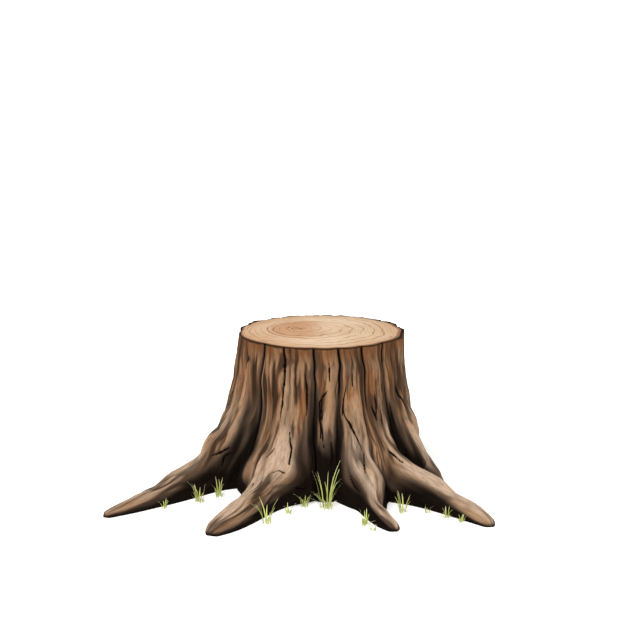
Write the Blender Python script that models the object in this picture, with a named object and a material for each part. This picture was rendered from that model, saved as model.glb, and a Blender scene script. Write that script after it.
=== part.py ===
"""A sawn tree stump: a short trunk with a flat cut face, eight spreading roots, and grass at its foot.

The bark is a ring of slabs that meet at the deep fissures. A slab over a root runs from the rim down the
trunk and along the root to its tip, and a panel between two roots ends at the ground. Under the bark are
the sapwood, the heartwood and the pith of the trunk, and the wooden core of each root. Everything is in
metres. The ground is z = 0, the trunk's axis is the Z axis, and the stump's front faces -Y. A bearing is in
degrees round the trunk, 0 at the front and growing towards +X.
"""

import math
import random

import bmesh
import bpy
import numpy as np

# Driving dimensions of the trunk
HEIGHT = 0.37
RIM_RADIUS = 0.21
RIM_FISSURE_DEPTH = 0.005
FLARE_POWER = 3.2
SWING_POWER = 1.5
BARK_AT_RIM = 0.0050
BARK_THICKNESS = 0.0095
BARK_AT_TIP = 0.006
THIN_RIM_ROWS = 2

# Gaps that keep touching pieces apart. The last is a share of one row of a root.
FISSURE_GAP = 0.0004
CAMBIUM_GAP = 0.0007
CORE_END_GAP = 0.04

# Rings of the wood: centre x, centre y, radius
HEARTWOOD = (-0.028, 0.014, 0.108)
PITH = (-0.060, 0.030, 0.006)
ROUND_SIDES = 28
PITH_SIDES = 12

# How finely the slabs are divided
TRUNK_ROWS = 7
ROOT_ROWS = 6
CORE_ROWS = ROOT_ROWS - 1
ROOT_COLUMNS = 8
PANEL_COLUMNS = 4
TIP_ANGLES = (38.0, 68.0)

# Cross-section of a slab: 1 is a parabola, 0.5 is half an ellipse
RIM_ROUNDNESS = 1.0
SHOULDER_ROUNDNESS = 0.85
TIP_ROUNDNESS = 0.55
PANEL_RIDGE = 0.006

# Over these first shares of a root, its sections turn from the trunk's direction to the root's
SQUARE_UP_SHARE = 0.40
INSET_TURN_SHARE = 0.35
SLOPE_STEP = 0.001

# Colours and roughness
BARK = ((0.23, 0.15, 0.10), 0.90)
ROOT_WOOD = ((0.55, 0.36, 0.20), 0.75)
SAPWOOD = ((0.74, 0.52, 0.31), 0.70)
HEART = ((0.68, 0.43, 0.24), 0.70)
DARK_PITH = ((0.30, 0.15, 0.07), 0.80)
GRASS = ((0.33, 0.42, 0.08), 0.60)
SMOOTH_ANGLE = 50.0

# Deep fissures: bearing at the rim, bearing at the ground, radius at the ground
FISSURES = (
    (-95.0, -92.0, 0.262),
    (-40.6, -56.5, 0.248),
    (-5.0, -4.0, 0.219),
    (11.2, 9.0, 0.224),
    (27.4, 35.5, 0.275),
    (45.5, 57.0, 0.290),
    (82.0, 85.0, 0.256),
    (105.0, 106.0, 0.240),
    (128.0, 130.0, 0.245),
    (170.0, 168.0, 0.245),
    (180.0, 181.0, 0.240),
    (212.0, 210.0, 0.245),
    (222.0, 222.0, 0.245),
    (250.0, 248.0, 0.245),
)

# Slabs in order round the trunk, each between its fissure and the next one
SLABS = (
    "left_root",
    "front_left_root",
    "front_panel",
    "front_right_root",
    "right_root",
    "rear_right_root",
    "right_panel",
    "right_rear_panel",
    "back_right_root",
    "back_right_panel",
    "back_root",
    "back_left_panel",
    "back_left_root",
    "left_panel",
)


def straight_root(bearing, reach, shoulder_radius=0.280):
    """Crest of a plain straight root: its shoulder and its run, as in ROOTS."""
    shoulder = (
        (0.221, bearing, 0.230),
        (0.240, bearing, 0.150),
        (shoulder_radius, bearing, 0.092),
    )
    length = reach - shoulder_radius
    run = (
        (shoulder_radius + 0.2 * length, bearing, 0.070, 0.052),
        (shoulder_radius + 0.5 * length, bearing, 0.044, 0.034),
        (reach, bearing, 0.013, 0.016),
    )
    return shoulder, run


# Crest of each root. The shoulder goes down the trunk as (radius, bearing, height), and its last point
# stands over the ground between the feet of the slab's two fissures. The run goes on to the tip, with the
# half width.
ROOTS = {
    "left_root": (
        ((0.225, -79.0, 0.245), (0.257, -77.0, 0.160), (0.290, -74.0, 0.112)),
        (
            (0.320, -70.5, 0.080, 0.062),
            (0.408, -62.6, 0.051, 0.043),
            (0.462, -60.2, 0.039, 0.034),
            (0.516, -58.6, 0.029, 0.025),
            (0.588, -57.6, 0.012, 0.013),
        ),
    ),
    "front_left_root": (
        ((0.219, -22.0, 0.220), (0.230, -22.9, 0.140), (0.252, -24.7, 0.094)),
        (
            (0.285, -26.9, 0.071, 0.068),
            (0.346, -28.0, 0.049, 0.046),
            (0.411, -28.8, 0.037, 0.035),
            (0.452, -29.8, 0.028, 0.028),
            (0.484, -31.0, 0.015, 0.018),
        ),
    ),
    "front_right_root": (
        ((0.218, 20.3, 0.230), (0.239, 20.0, 0.145), (0.264, 21.0, 0.104)),
        (
            (0.297, 22.6, 0.072, 0.040),
            (0.340, 21.2, 0.046, 0.025),
            (0.386, 21.6, 0.032, 0.021),
            (0.429, 23.0, 0.014, 0.015),
        ),
    ),
    "right_root": (
        ((0.219, 39.5, 0.230), (0.246, 42.0, 0.145), (0.294, 45.5, 0.090)),
        (
            (0.335, 47.1, 0.067, 0.040),
            (0.387, 47.4, 0.047, 0.033),
            (0.451, 47.1, 0.035, 0.027),
            (0.497, 46.5, 0.027, 0.021),
            (0.533, 46.1, 0.015, 0.015),
        ),
    ),
    "rear_right_root": (
        ((0.222, 70.0, 0.250), (0.243, 72.0, 0.165), (0.268, 71.5, 0.092)),
        (
            (0.285, 70.4, 0.062, 0.046),
            (0.303, 69.4, 0.042, 0.034),
            (0.324, 68.2, 0.018, 0.020),
        ),
    ),
    "back_right_root": straight_root(149.0, 0.400),
    "back_root": straight_root(195.5, 0.420),
    "back_left_root": straight_root(235.0, 0.375, 0.268),
}

# Grass tufts: radius, bearing, height of the longest blade
TUFTS = {
    "grass_tuft_left_outer": (0.452, -54.6, 0.023),
    "grass_tuft_left": (0.367, -52.2, 0.045),
    "grass_tuft_left_inner": (0.312, -52.5, 0.040),
    "grass_tuft_front_left": (0.366, -20.0, 0.050),
    "grass_tuft_front_left_small": (0.305, -14.5, 0.020),
    "grass_tuft_front_left_inner": (0.258, -8.5, 0.030),
    "grass_tuft_front": (0.258, 2.5, 0.085),
    "grass_tuft_front_right": (0.372, 15.5, 0.034),
    "grass_tuft_front_right_small": (0.408, 16.4, 0.016),
    "grass_tuft_right_fork": (0.345, 33.5, 0.040),
    "grass_tuft_right": (0.381, 40.0, 0.018),
    "grass_tuft_right_outer": (0.428, 41.6, 0.023),
    "grass_tuft_right_tip": (0.466, 42.6, 0.020),
    "grass_tuft_rear_right": (0.268, 112.0, 0.035),
    "grass_tuft_back_right": (0.272, 122.0, 0.045),
    "grass_tuft_back": (0.272, 175.0, 0.050),
    "grass_tuft_back_left": (0.275, 216.0, 0.030),
    "grass_tuft_rear_left": (0.278, 257.0, 0.045),
}
TUFT_SIDES = 6
CROWN_HEIGHT = 0.003
CROWN_RADIUS = 0.006
CROWN_SPREAD = 0.06
SHORTER_BLADES = (0.45, 0.85)
BLADE_LEANS = (0.15, 0.35)
BLADE_BEND = 1.6
BLADE_SECTIONS = ((0.08, 0.40), (0.55, 0.75), (1.0, 0.20))


def mix(a, b, share):
    return a + (b - a) * share


def ease(share):
    """0 to 1 along a smooth S, held at both ends."""
    share = min(max(share, 0.0), 1.0)
    return share * share * (3.0 - 2.0 * share)


def around(radius, bearing, height):
    """The point at a radius and a bearing round the trunk's axis."""
    angle = math.radians(bearing)
    return np.array((radius * math.sin(angle), -radius * math.cos(angle), height))


def flat(point):
    """The point on the ground under a point."""
    return np.array((point[0], point[1], 0.0))


def unit(vector):
    return vector / np.linalg.norm(vector)


class Path:
    """A smooth curve through points, measured along its chords. Columns after the third go along with it."""

    def __init__(self, points):
        self.points = np.array(points, float)
        steps = np.linalg.norm(np.diff(self.points[:, :3], axis=0), axis=1)
        self.marks = np.concatenate(([0.0], np.cumsum(steps)))
        self.slopes = np.gradient(self.points, self.marks, axis=0)

    def at(self, distance):
        first = int(np.clip(np.searchsorted(self.marks, distance) - 1, 0, len(self.marks) - 2))
        span = self.marks[first + 1] - self.marks[first]
        t = (distance - self.marks[first]) / span
        start, end = self.points[first], self.points[first + 1]
        leave, arrive = self.slopes[first] * span, self.slopes[first + 1] * span
        return (
            (2 * t**3 - 3 * t**2 + 1) * start
            + (t**3 - 2 * t**2 + t) * leave
            + (3 * t**2 - 2 * t**3) * end
            + (t**3 - t**2) * arrive
        )


def fissure_point(index, drop, sideways):
    """The bottom of a fissure, shifted sideways. drop is 0 at the rim and 1 at the ground."""
    rim_bearing, foot_bearing, foot_radius = FISSURES[index % len(FISSURES)]
    radius = mix(RIM_RADIUS - RIM_FISSURE_DEPTH, foot_radius, drop**FLARE_POWER)
    bearing = mix(rim_bearing, foot_bearing, drop**SWING_POWER)
    return around(radius, bearing + math.degrees(sideways / radius), HEIGHT * (1.0 - drop))


class Slab:
    """One slab of bark, and the surface of the wood under it."""

    def __init__(self, index):
        self.index = index
        self.name = SLABS[index]
        self.is_root = self.name in ROOTS
        self.columns = ROOT_COLUMNS if self.is_root else PANEL_COLUMNS
        self.last_row = TRUNK_ROWS
        if self.is_root:
            self.lay_crest()

    def lay_crest(self):
        """Draws the root's crest from the rim to the tip, and sets the rows along the ground."""
        shoulder, run = ROOTS[self.name]
        left_foot, right_foot = self.edges(1.0, 0.0)
        foot_width = 0.5 * np.linalg.norm(right_foot - left_foot)
        left_rim, right_rim = self.edges(0.0, 0.0)
        rim = flat(0.5 * (left_rim + right_rim))
        rim = unit(rim) * RIM_RADIUS + np.array((0.0, 0.0, HEIGHT))
        points = [np.append(rim, foot_width)]
        points += [np.append(around(*place), foot_width) for place in shoulder]
        points += [np.append(around(*place[:3]), place[3]) for place in run]
        self.crest = Path(points)
        self.shoulder_mark = self.crest.marks[len(shoulder)]
        end = self.crest.marks[-1]
        tip = run[-1][3]
        step = (end - tip - self.shoulder_mark) / ROOT_ROWS
        self.stations = [(self.shoulder_mark + step * row, 1.0) for row in range(ROOT_ROWS + 1)]
        for angle in TIP_ANGLES:
            angle = math.radians(angle)
            self.stations.append((end - tip * (1.0 - math.sin(angle)), math.cos(angle)))
        self.last_row = TRUNK_ROWS + len(self.stations) - 1

    def edges(self, drop, gap):
        """Left and right edge points on the trunk, each moved in by half of the gap."""
        return (
            fissure_point(self.index, drop, 0.5 * gap),
            fissure_point(self.index + 1, drop, -0.5 * gap),
        )

    def frame(self, row, gap):
        """Centre of the section's base, half its width, and its rise, as vectors. Also its roundness."""
        drop = min(row / TRUNK_ROWS, 1.0)
        left, right = self.edges(drop, gap)
        centre = 0.5 * (left + right)
        half = 0.5 * (right - left)
        if not self.is_root:
            outward = unit(flat(centre))
            middle = 0.5 * (np.linalg.norm(left[:2]) + np.linalg.norm(right[:2]))
            bulge = middle - np.linalg.norm(centre[:2]) + mix(RIM_FISSURE_DEPTH, PANEL_RIDGE, drop)
            return centre, half, outward * bulge, RIM_ROUNDNESS
        if row <= TRUNK_ROWS:
            top = self.crest.at(self.shoulder_mark * drop)[:3]
            return centre, half, top - centre, mix(RIM_ROUNDNESS, SHOULDER_ROUNDNESS, drop)
        distance, rounding = self.stations[row - TRUNK_ROWS]
        share = (distance - self.shoulder_mark) / (self.crest.marks[-1] - self.shoulder_mark)
        place = self.crest.at(distance)
        ahead, behind = self.crest.at(distance + SLOPE_STEP), self.crest.at(distance - SLOPE_STEP)
        forward = unit(flat(ahead - behind))
        across = np.array((-forward[1], forward[0], 0.0))
        shoulder = self.crest.at(self.shoulder_mark)
        base = flat(place) + (centre - flat(shoulder)) * (1.0 - share) ** 2
        across = unit(mix(unit(half), across, ease(share / SQUARE_UP_SHARE)))
        rise = (place[:3] - base) * np.array((1.0, 1.0, rounding))
        roundness = mix(SHOULDER_ROUNDNESS, TIP_ROUNDNESS, share)
        return base, across * place[3] * rounding, rise, roundness

    def arch(self, row, inset=0.0, gap=0.0):
        """Points over a row from its left edge to its right one, moved into the wood by the inset."""
        centre, half, rise, roundness = self.frame(row, gap)
        drop = min(row / TRUNK_ROWS, 1.0)
        along_root = 0.0
        if row > TRUNK_ROWS:
            along_root = (row - TRUNK_ROWS) / ROOT_ROWS
        points = []
        for column in range(self.columns + 1):
            turn = math.pi * (column / self.columns - 0.5)
            lift = max(math.cos(turn), 0.0) ** (2.0 * roundness) if 0 < column < self.columns else 0.0
            point = centre + half * math.sin(turn) + rise * lift
            if inset:
                toward_axis = -unit(flat(point))
                to_centre = centre - point
                share = ease(drop) * (1.0 - abs(math.sin(turn)) ** 4) if self.is_root else 0.0
                share = mix(share, 1.0, ease(along_root / INSET_TURN_SHARE))
                point = point + unit(mix(toward_axis, unit(to_centre), share)) * inset
            points.append(point)
        return points

    def depth(self, row):
        """Thickness of the bark at a row: thin at the rim, full on the trunk, and thinner to the tip."""
        if row < TRUNK_ROWS:
            return mix(BARK_AT_RIM, BARK_THICKNESS, min(row / THIN_RIM_ROWS, 1.0))
        return mix(BARK_THICKNESS, BARK_AT_TIP, min((row - TRUNK_ROWS) / ROOT_ROWS, 1.0))


def add_points(mesh, points):
    return [mesh.verts.new(point) for point in points]


def bridge(mesh, first, second):
    """Quads between two rows of as many vertices."""
    for a, b, c, d in zip(first, first[1:], second[1:], second):
        mesh.faces.new((a, b, c, d))


def ladder(mesh, row):
    """Closes an arch with rungs from its left side to its right."""
    low, high = 0, len(row) - 1
    while high - low > 2:
        mesh.faces.new((row[low], row[low + 1], row[high - 1], row[high]))
        low, high = low + 1, high - 1
    mesh.faces.new((row[low], row[low + 1], row[high]))


def finish_mesh(mesh, name, colour, roughness):
    """Makes an object of a closed mesh, with a material of its own."""
    bmesh.ops.triangulate(mesh, faces=mesh.faces[:], quad_method="FIXED", ngon_method="EAR_CLIP")
    bmesh.ops.recalc_face_normals(mesh, faces=mesh.faces[:])
    data = bpy.data.meshes.new(name)
    mesh.to_mesh(data)
    mesh.free()
    data.shade_smooth()
    data.set_sharp_from_angle(angle=math.radians(SMOOTH_ANGLE))
    material = bpy.data.materials.new(name)
    material.use_nodes = True
    shader = material.node_tree.nodes["Principled BSDF"]
    shader.inputs["Base Color"].default_value = (*colour, 1.0)
    shader.inputs["Roughness"].default_value = roughness
    shader.inputs["Metallic"].default_value = 0.0
    data.materials.append(material)
    thing = bpy.data.objects.new(name, data)
    bpy.context.scene.collection.objects.link(thing)
    return thing


def make_bark(slab):
    """A slab of bark. Over a root it is an open arch on the ground, closed and solid near the tip."""
    mesh = bmesh.new()
    rows = TRUNK_ROWS + (CORE_ROWS if slab.is_root else 0)
    outer = [add_points(mesh, slab.arch(row, gap=FISSURE_GAP)) for row in range(slab.last_row + 1)]
    inner = [
        add_points(mesh, slab.arch(row, inset=slab.depth(row), gap=FISSURE_GAP)) for row in range(rows + 1)
    ]
    for row in range(slab.last_row):
        bridge(mesh, outer[row], outer[row + 1])
    for row in range(rows):
        bridge(mesh, inner[row], inner[row + 1])
        mesh.faces.new((outer[row][0], outer[row + 1][0], inner[row + 1][0], inner[row][0]))
        mesh.faces.new((outer[row][-1], outer[row + 1][-1], inner[row + 1][-1], inner[row][-1]))
    bridge(mesh, outer[0], inner[0])
    if slab.is_root:
        ladder(mesh, inner[rows])
        ladder(mesh, outer[-1])
        mesh.faces.new(
            (
                outer[rows][0],
                inner[rows][0],
                inner[rows][-1],
                outer[rows][-1],
                outer[rows + 1][-1],
                outer[rows + 1][0],
            )
        )
        for row in range(rows + 1, slab.last_row):
            mesh.faces.new((outer[row][0], outer[row][-1], outer[row + 1][-1], outer[row + 1][0]))
    else:
        bridge(mesh, outer[-1], inner[-1])
    return finish_mesh(mesh, "bark_" + slab.name, *BARK)


def make_root_wood(slab):
    """The wooden core of a root, from just outside the trunk to where its bark closes."""
    mesh = bmesh.new()
    arches = []
    for row in range(TRUNK_ROWS, TRUNK_ROWS + CORE_ROWS + 1):
        arches.append(slab.arch(row, inset=slab.depth(row) + CAMBIUM_GAP))
    arches[0] = [mix(a, b, CORE_END_GAP) for a, b in zip(arches[0], arches[1])]
    arches[-1] = [mix(a, b, 1.0 - CORE_END_GAP) for a, b in zip(arches[-2], arches[-1])]
    rows = [add_points(mesh, arch) for arch in arches]
    for first, second in zip(rows, rows[1:]):
        bridge(mesh, first, second)
        mesh.faces.new((first[0], first[-1], second[-1], second[0]))
    ladder(mesh, rows[0])
    ladder(mesh, rows[-1])
    return finish_mesh(mesh, "wood_" + slab.name, *ROOT_WOOD)


def ring(mesh, circle, sides, height):
    """Vertices of a circle given as its centre's x and y and its radius."""
    x, y, radius = circle
    turns = [math.tau * side / sides for side in range(sides)]
    return add_points(mesh, [(x + radius * math.cos(t), y + radius * math.sin(t), height) for t in turns])


def wall(mesh, circle, sides):
    """An upright round wall from the ground to the cut face."""
    low = ring(mesh, circle, sides, 0.0)
    high = ring(mesh, circle, sides, HEIGHT)
    bridge(mesh, low + low[:1], high + high[:1])


def close_flat_ends(mesh):
    """Fills what is open in the ground plane and in the plane of the cut face."""
    for height in (0.0, HEIGHT):
        rim = [
            edge
            for edge in mesh.edges
            if edge.is_boundary and all(abs(vert.co.z - height) < 1e-5 for vert in edge.verts)
        ]
        bmesh.ops.triangle_fill(mesh, edges=rim, use_beauty=True)


def make_sapwood(slabs):
    """The outer wood of the trunk, fitted under every slab of bark."""
    mesh = bmesh.new()
    for slab in slabs:
        arches = [
            slab.arch(row, inset=slab.depth(row) + CAMBIUM_GAP) for row in range(TRUNK_ROWS + 1)
        ]
        rows = [add_points(mesh, arch) for arch in arches]
        for first, second in zip(rows, rows[1:]):
            bridge(mesh, first, second)
        if slab.is_root:
            ladder(mesh, rows[-1])
    bmesh.ops.remove_doubles(mesh, verts=mesh.verts[:], dist=1e-6)
    x, y, radius = HEARTWOOD
    wall(mesh, (x, y, radius + CAMBIUM_GAP), ROUND_SIDES)
    close_flat_ends(mesh)
    return finish_mesh(mesh, "sapwood", *SAPWOOD)


def make_heartwood():
    """The darker column inside the sapwood, with a hole for the pith."""
    mesh = bmesh.new()
    x, y, radius = PITH
    wall(mesh, HEARTWOOD, ROUND_SIDES)
    wall(mesh, (x, y, radius + CAMBIUM_GAP), PITH_SIDES)
    close_flat_ends(mesh)
    return finish_mesh(mesh, "heartwood", *HEART)


def make_pith():
    """The thin column at the centre of the rings."""
    mesh = bmesh.new()
    wall(mesh, PITH, PITH_SIDES)
    close_flat_ends(mesh)
    return finish_mesh(mesh, "pith", *DARK_PITH)


def grow_blade(mesh, face, length, lean, bearing):
    """Extrudes a face of the crown into a blade that narrows and bends outwards."""
    outward = np.array((math.sin(bearing), -math.cos(bearing), 0.0))
    for share, width in BLADE_SECTIONS:
        grown = bmesh.ops.extrude_face_region(mesh, geom=[face])["geom"]
        bmesh.ops.delete(mesh, geom=[face], context="FACES_ONLY")
        face = next(item for item in grown if isinstance(item, bmesh.types.BMFace))
        middle = np.array(face.calc_center_median())
        target = outward * (lean * length * share**BLADE_BEND)
        target[2] = CROWN_HEIGHT + length * share
        foot = outward * CROWN_HEIGHT
        for vert in face.verts:
            vert.co = foot + target + (np.array(vert.co) - middle) * width


def make_tuft(name, radius, bearing, height):
    """A tuft of grass: a low crown on the ground with one blade for each of its upper faces."""
    draw = random.Random(name)
    mesh = bmesh.new()
    crown = CROWN_RADIUS + CROWN_SPREAD * height
    low = ring(mesh, (0.0, 0.0, crown), TUFT_SIDES, 0.0)
    top = mesh.verts.new((0.0, 0.0, CROWN_HEIGHT))
    mesh.faces.new(low)
    upper = [mesh.faces.new((a, b, top)) for a, b in zip(low, low[1:] + low[:1])]
    tallest = draw.randrange(TUFT_SIDES)
    for side, face in enumerate(upper):
        middle = face.calc_center_median()
        length = height - CROWN_HEIGHT
        if side != tallest:
            length *= draw.uniform(*SHORTER_BLADES)
        grow_blade(mesh, face, length, draw.uniform(*BLADE_LEANS), math.atan2(middle.x, -middle.y))
    tuft = finish_mesh(mesh, name, *GRASS)
    tuft.location = around(radius, bearing, 0.0)
    return tuft


def clear_scene():
    for thing in list(bpy.data.objects):
        bpy.data.objects.remove(thing)


def main():
    clear_scene()
    stump = bpy.data.objects.new("stump", None)
    bpy.context.scene.collection.objects.link(stump)
    slabs = [Slab(index) for index in range(len(SLABS))]
    pieces = [make_bark(slab) for slab in slabs]
    pieces += [make_root_wood(slab) for slab in slabs if slab.is_root]
    pieces += [make_sapwood(slabs), make_heartwood(), make_pith()]
    pieces += [make_tuft(name, *place) for name, place in TUFTS.items()]
    for piece in pieces:
        piece.parent = stump


main()
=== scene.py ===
"""Looks of the sawn tree stump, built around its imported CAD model.

Each slab of bark is read back from its CAD node as rows of points, smoothed, and given ridges, fissures and
cracks. The cut face gets rings and drying checks, and each tuft gets fine blades. Everything is in metres.
"""

import math
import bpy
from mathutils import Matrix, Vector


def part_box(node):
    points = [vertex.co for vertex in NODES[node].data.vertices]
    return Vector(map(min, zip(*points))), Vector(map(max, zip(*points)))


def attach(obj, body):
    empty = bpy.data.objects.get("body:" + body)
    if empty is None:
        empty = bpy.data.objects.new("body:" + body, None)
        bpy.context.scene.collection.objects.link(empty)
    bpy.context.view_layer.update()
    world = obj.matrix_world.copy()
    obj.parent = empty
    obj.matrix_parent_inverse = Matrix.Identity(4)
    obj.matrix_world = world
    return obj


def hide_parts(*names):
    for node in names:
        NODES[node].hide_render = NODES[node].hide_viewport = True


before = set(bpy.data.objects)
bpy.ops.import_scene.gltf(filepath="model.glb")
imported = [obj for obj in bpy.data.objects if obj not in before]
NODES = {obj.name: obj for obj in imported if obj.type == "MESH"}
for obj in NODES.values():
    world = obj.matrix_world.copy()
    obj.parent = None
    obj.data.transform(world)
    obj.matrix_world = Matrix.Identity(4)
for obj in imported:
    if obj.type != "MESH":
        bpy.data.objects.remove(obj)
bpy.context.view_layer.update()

import bmesh
import bpy
import numpy as np
from mathutils import Vector
from mathutils.bvhtree import BVHTree

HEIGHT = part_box("sapwood")[1].z
TINY = 1e-5

# How finely the bark is divided, and how many of its cells share one on the hidden inner side
ROW_STEP = 0.0026
COLUMN_STEP = 0.0017
INNER_EVERY = 4

# The slabs' thickness, which grows from the rim over THIN_RIM, and its limit as a share of the width
BARK_THICKNESS = 0.0092
BARK_AT_RIM = 0.0046
THIN_RIM = 0.09
SLIM_ROOT_SHARE = 0.12

# The least bark over the wood, and how far from the smooth surface the wood is looked for
LEAST_BARK = 0.0016
WOOD_REACH = 0.02

# Relief of the bark: width, length and height of one feature. It is weak between the two widths of SLIM.
SWELLS = (0.036, 0.150, 0.0066)
RIDGES = (0.014, 0.085, 0.0034)
GRAIN = (0.0052, 0.040, 0.0009)
SLIM = (0.02, 0.12)

# A swell of the whole trunk, which starts between these two heights
TRUNK_SWELL = 0.0022
SWELL_HEIGHTS = (0.18, 0.28)

# Fissures between slabs: shallower near the rim, and fading out at the ground
FISSURE_DEPTH = 0.0060
FISSURE_WIDTH = 0.0062
RIM_DEPTH_SHARE = 0.4
RIM_DEPTH_FADE = 0.08
RIM_FADE = 0.012
GROUND_FADE = 0.020
EDGE_FADE = 0.02

# How far fissures and everything near them wander sideways, in radians, and the height of one bend
SLOW_WANDER = 0.040
SLOW_BEND = 0.085
QUICK_WANDER = 0.014
QUICK_BEND = 0.028

# Fissures that aren't the same all the way down, by the bearing of their rim in degrees from the front. Each
# row has a height, how open the fissure is, how dark the painted shade on the bark beside it is, and how far
# it is filled out.
OPENNESS, SHADE_BESIDE, FILLING = 1, 2, 3
FISSURE_STYLES = {
    -5.0: ((0.37, 1.0, 0.9, 0.0), (0.30, 0.7, 0.9, 0.0), (0.20, 0.5, 0.9, 0.0), (0.0, 1.0, 1.1, 0.0)),
    11.2: ((0.37, 1.0, 0.7, 0.0), (0.27, 1.0, 0.7, 0.0), (0.24, 0.1, 0.8, 0.0), (0.0, 0.3, 1.1, 0.0)),
    27.4: (
        (0.37, 1.0, 0.8, 0.0),
        (0.24, 0.9, 0.5, 0.004),
        (0.20, 0.2, 0.1, 0.008),
        (0.15, 0.0, 0.0, 0.018),
        (0.10, 0.0, 0.1, 0.030),
        (0.06, 0.1, 0.5, 0.020),
        (0.02, 0.5, 1.0, 0.0),
    ),
    45.5: ((0.37, 1.0, 0.8, 0.0), (0.26, 1.0, 0.8, 0.0), (0.18, 1.0, 1.0, 0.0), (0.08, 1.0, 1.3, 0.0)),
}

# Knuckles (up) and hollows (down) of the slabs in front. Each has a share of the width, a distance along,
# half of its own width as a share, half of its own length, and a height.
KNUCKLES = {
    "bark_left_root": (
        (0.12, 0.200, 0.22, 0.040, 0.0070),
        (0.12, 0.160, 0.20, 0.018, -0.0040),
        (0.30, 0.275, 0.20, 0.025, -0.0060),
        (0.45, 0.340, 0.30, 0.035, 0.0060),
        (0.50, 0.430, 0.40, 0.025, -0.0030),
        (0.50, 0.490, 0.40, 0.030, 0.0040),
        (0.78, 0.200, 0.14, 0.070, 0.0060),
    ),
    "bark_front_left_root": (
        (0.30, 0.300, 0.25, 0.050, 0.0080),
        (0.72, 0.340, 0.22, 0.050, 0.0070),
        (0.58, 0.225, 0.08, 0.022, -0.0040),
        (0.45, 0.470, 0.30, 0.040, 0.0050),
    ),
    "bark_front_right_root": (
        (0.55, 0.330, 0.22, 0.050, 0.0070),
        (0.30, 0.230, 0.10, 0.060, 0.0050),
        (0.50, 0.430, 0.30, 0.025, -0.0040),
    ),
    "bark_right_root": (
        (0.42, 0.420, 0.40, 0.060, 0.0090),
        (0.30, 0.300, 0.30, 0.050, 0.0060),
        (0.50, 0.535, 0.40, 0.030, 0.0015),
    ),
    "bark_rear_right_root": (
        (0.60, 0.110, 0.20, 0.040, 0.0030),
        (0.60, 0.240, 0.25, 0.045, 0.0030),
        (0.50, 0.440, 0.80, 0.100, -0.0035),
    ),
}

# Painted shade on the flanks beside the fissures: how far it reaches, as a share of half the width, and how
# dark it is. Both change from the rim to the foot, and again over FAR_OUT along the root.
FLANK_AT_RIM, FLANK_OF_ROOT, FLANK_OF_PANEL = 0.35, 0.95, 0.60
SHADE_AT_RIM, SHADE_AT_FOOT = 0.62, 1.15
FAR_OUT = (0.44, 0.60)
FAR_FLANK, FAR_SHADE = 0.66, 0.70

# Patches of painted shade, in the terms of the knuckles, with how dark they are in place of a height
SHADE_PATCHES = {
    "bark_rear_right_root": ((0.10, 0.440, 0.62, 0.110, 0.9),),
}

# The cut face's mesh, and the relief of its rings and checks
FACE_COLUMNS = 240
FACE_STEP = 0.0016
RING_SPACING = 0.0070
RING_RELIEF = 0.00022
CHECK_DEPTH = 0.0018

# Drying checks at the pith: bearing from +X in radians, length, half width
CHECKS = ((0.10, 0.044, 0.0030), (3.00, 0.034, 0.0026), (-0.60, 0.026, 0.0018), (1.90, 0.020, 0.0016))

# The dark line that winds out from the pith: first radius, widening per turn, half width
WINDING = (0.0050, 0.0095, 0.0017)

# Strong growth rings: share of the way out, half of the line's width as a share, strength at right and left
RINGS = (
    (0.20, 0.014, 0.35, 0.70),
    (0.31, 0.012, 0.25, 0.60),
    (0.42, 0.026, 0.50, 1.00),
    (0.53, 0.020, 0.45, 1.00),
    (0.64, 0.011, 0.85, 0.55),
    (0.75, 0.011, 0.90, 0.65),
    (0.84, 0.011, 0.85, 0.85),
    (0.92, 0.013, 0.95, 0.85),
)

# Size of the table of random numbers that noise is made from
LATTICE = 64


# --- Small maths ---


def mix(a, b, share):
    """a at share 0 and b at share 1."""
    return a + (b - a) * share


def ease(values, low=0.0, high=1.0):
    """0 below low, 1 above high, and a smooth S between them."""
    share = np.clip((values - low) / (high - low), 0.0, 1.0)
    return share * share * (3.0 - 2.0 * share)


def noise(x, y, seed):
    """Seeded smooth noise from -1 to 1. One feature is about one unit long."""
    table = np.random.default_rng(seed).uniform(-1.0, 1.0, (LATTICE, LATTICE))
    column, row = np.floor(x).astype(int), np.floor(y).astype(int)
    across, down = ease(x - column), ease(y - row)
    near = mix(table[row % LATTICE, column % LATTICE], table[row % LATTICE, (column + 1) % LATTICE], across)
    row = row + 1
    far = mix(table[row % LATTICE, column % LATTICE], table[row % LATTICE, (column + 1) % LATTICE], across)
    return mix(near, far, down)


def spline(knots, at):
    """Points of a smooth curve through knots, along their first axis, at fractional knot numbers."""
    ends = (2.0 * knots[:1] - knots[1:2], knots, 2.0 * knots[-1:] - knots[-2:-1])
    padded = np.concatenate(ends)
    first = np.clip(np.floor(at).astype(int), 0, len(knots) - 2)
    t = (at - first).reshape((-1,) + (1,) * (knots.ndim - 1))
    a, b, c, d = (padded[first + step] for step in range(4))
    return 0.5 * (2 * b + (c - a) * t + (2 * a - 5 * b + 4 * c - d) * t**2 + (3 * b - a - 3 * c + d) * t**3)


def whole_cells(length, step):
    """A number of cells about one step long that INNER_EVERY divides."""
    return INNER_EVERY * max(1, round(length / step / INNER_EVERY))


# --- Reading the CAD slabs ---


def joined_mesh(node):
    """A CAD node's mesh, with vertices at the same place joined."""
    mesh = bmesh.new()
    mesh.from_mesh(NODES[node].data)
    bmesh.ops.remove_doubles(mesh, verts=mesh.verts[:], dist=TINY)
    mesh.verts.ensure_lookup_table()
    return mesh


def sapwood_rim():
    """Points round the edge of the wood at the cut face."""
    points = np.array([vertex.co for vertex in NODES["sapwood"].data.vertices])
    return points[points[:, 2] > HEIGHT - TINY]


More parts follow.
